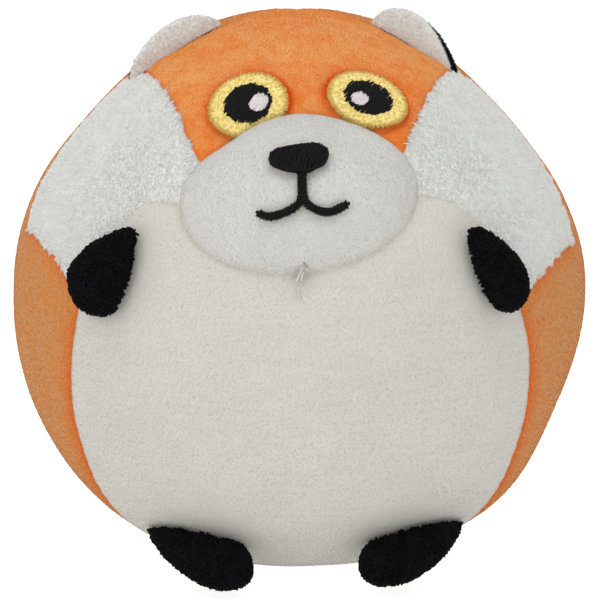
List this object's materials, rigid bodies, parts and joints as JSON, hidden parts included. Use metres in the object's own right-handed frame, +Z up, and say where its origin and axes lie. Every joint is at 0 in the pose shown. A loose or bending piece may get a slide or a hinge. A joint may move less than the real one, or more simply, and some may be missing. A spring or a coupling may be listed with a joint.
{
  "type": "squishy plush toy",
  "caption": "Ball-shaped squishy plush animal with sewn panels, raised muzzle, embroidered face, ears, arms, feet and a tail, over a jelly-filled core.",
  "frame": {"origin": "middle of the toy's bounding box, on the surface that it stands on", "axes": "+Z up, -Y the way the face looks, +X the toy's own left side"},
  "size_m": [0.1018, 0.1121, 0.0998],
  "materials": {
    "orange_plush": "short orange pile",
    "white_plush": "short white pile",
    "white_sherpa": "longer curly white pile",
    "black_plush": "short dense black pile",
    "gold_thread": "satin stitch with a sheen",
    "black_thread": "satin stitch with a sheen",
    "white_thread": "satin stitch with a sheen",
    "fibre_wadding": "loose white polyester fibre",
    "elastic_skin": "smooth thin elastic",
    "jelly": "clear soft jelly",
    "plug_plastic": "moulded"
  },
  "bodies": {
    "root": {"cheek_left": "white_sherpa", "cheek_right": "white_sherpa", "back_left": "orange_plush", "back_right": "orange_plush", "belly": "white_plush", "muzzle": "white_plush", "nose": "black_thread", "mouth": "black_thread", "muzzle_wadding": "fibre_wadding", "wadding_front": "fibre_wadding", "wadding_back": "fibre_wadding", "bladder": "elastic_skin", "jelly": "jelly", "bladder_plug": "plug_plastic"},
    "crown": {"forehead_left": "orange_plush", "forehead_right": "orange_plush", "eye_ring_left": "gold_thread", "eye_pupil_left": "black_thread", "eye_glint_left": "white_thread", "eye_ring_right": "gold_thread", "eye_pupil_right": "black_thread", "eye_glint_right": "white_thread"},
    "arm_left": {"arm_left_front": "black_plush", "arm_left_back": "black_plush", "arm_left_filling": "fibre_wadding"},
    "arm_right": {"arm_right_front": "black_plush", "arm_right_back": "black_plush", "arm_right_filling": "fibre_wadding"},
    "foot_left": {"foot_left_front": "black_plush", "foot_left_back": "black_plush", "foot_left_filling": "fibre_wadding"},
    "foot_right": {"foot_right_front": "black_plush", "foot_right_back": "black_plush", "foot_right_filling": "fibre_wadding"},
    "ear_left": {"ear_front_left": "white_plush", "ear_back_left": "black_plush"},
    "ear_right": {"ear_front_right": "white_plush", "ear_back_right": "black_plush"},
    "tail": {"tail_cover": "orange_plush", "tail_tip": "white_plush", "tail_filling": "fibre_wadding"}
  },
  "joints": [
    {"name": "crown_press", "type": "slide", "parent": "root", "child": "crown", "axis": [0, 0, -1], "range_m": [0, 0.012], "stiffness_N_per_m": 250, "deforming": ["cheek_left", "cheek_right", "back_left", "back_right", "muzzle", "muzzle_wadding", "wadding_front", "wadding_back", "bladder", "jelly"]},
    {"name": "arm_lift_left", "type": "hinge", "parent": "root", "child": "arm_left", "pos_m": [0.02705, -0.04383, 0.06386], "axis": [-0.5767, -0.5929, -0.5621], "range_deg": [0, 90]},
    {"name": "arm_lift_right", "type": "hinge", "parent": "root", "child": "arm_right", "pos_m": [-0.02705, -0.04383, 0.06386], "axis": [-0.6666, 0.606, 0.4342], "range_deg": [0, 90]},
    {"name": "foot_swing_left", "type": "hinge", "parent": "root", "child": "foot_left", "pos_m": [0.028, -0.02223, 0.01], "axis": [0, 0, 1], "range_deg": [0, 60]},
    {"name": "foot_swing_right", "type": "hinge", "parent": "root", "child": "foot_right", "pos_m": [-0.0266, -0.02323, 0.0091], "axis": [0, 0, -1], "range_deg": [0, 60]},
    {"name": "ear_bend_left", "type": "hinge", "parent": "crown", "child": "ear_left", "pos_m": [0.02102, -0.00867, 0.09443], "axis": [-0.8758, 0.2184, 0.4305], "range_deg": [-25, 25], "stiffness_Nm_per_rad": 0.0005},
    {"name": "ear_bend_right", "type": "hinge", "parent": "crown", "child": "ear_right", "pos_m": [-0.02102, -0.00867, 0.09443], "axis": [0.8758, 0.2184, 0.4305], "range_deg": [-25, 25], "stiffness_Nm_per_rad": 0.0005},
    {"name": "tail_lift", "type": "hinge", "parent": "root", "child": "tail", "pos_m": [0, 0.04048, 0.02166], "axis": [1, 0, 0], "range_deg": [0, 50]}
  ]
}
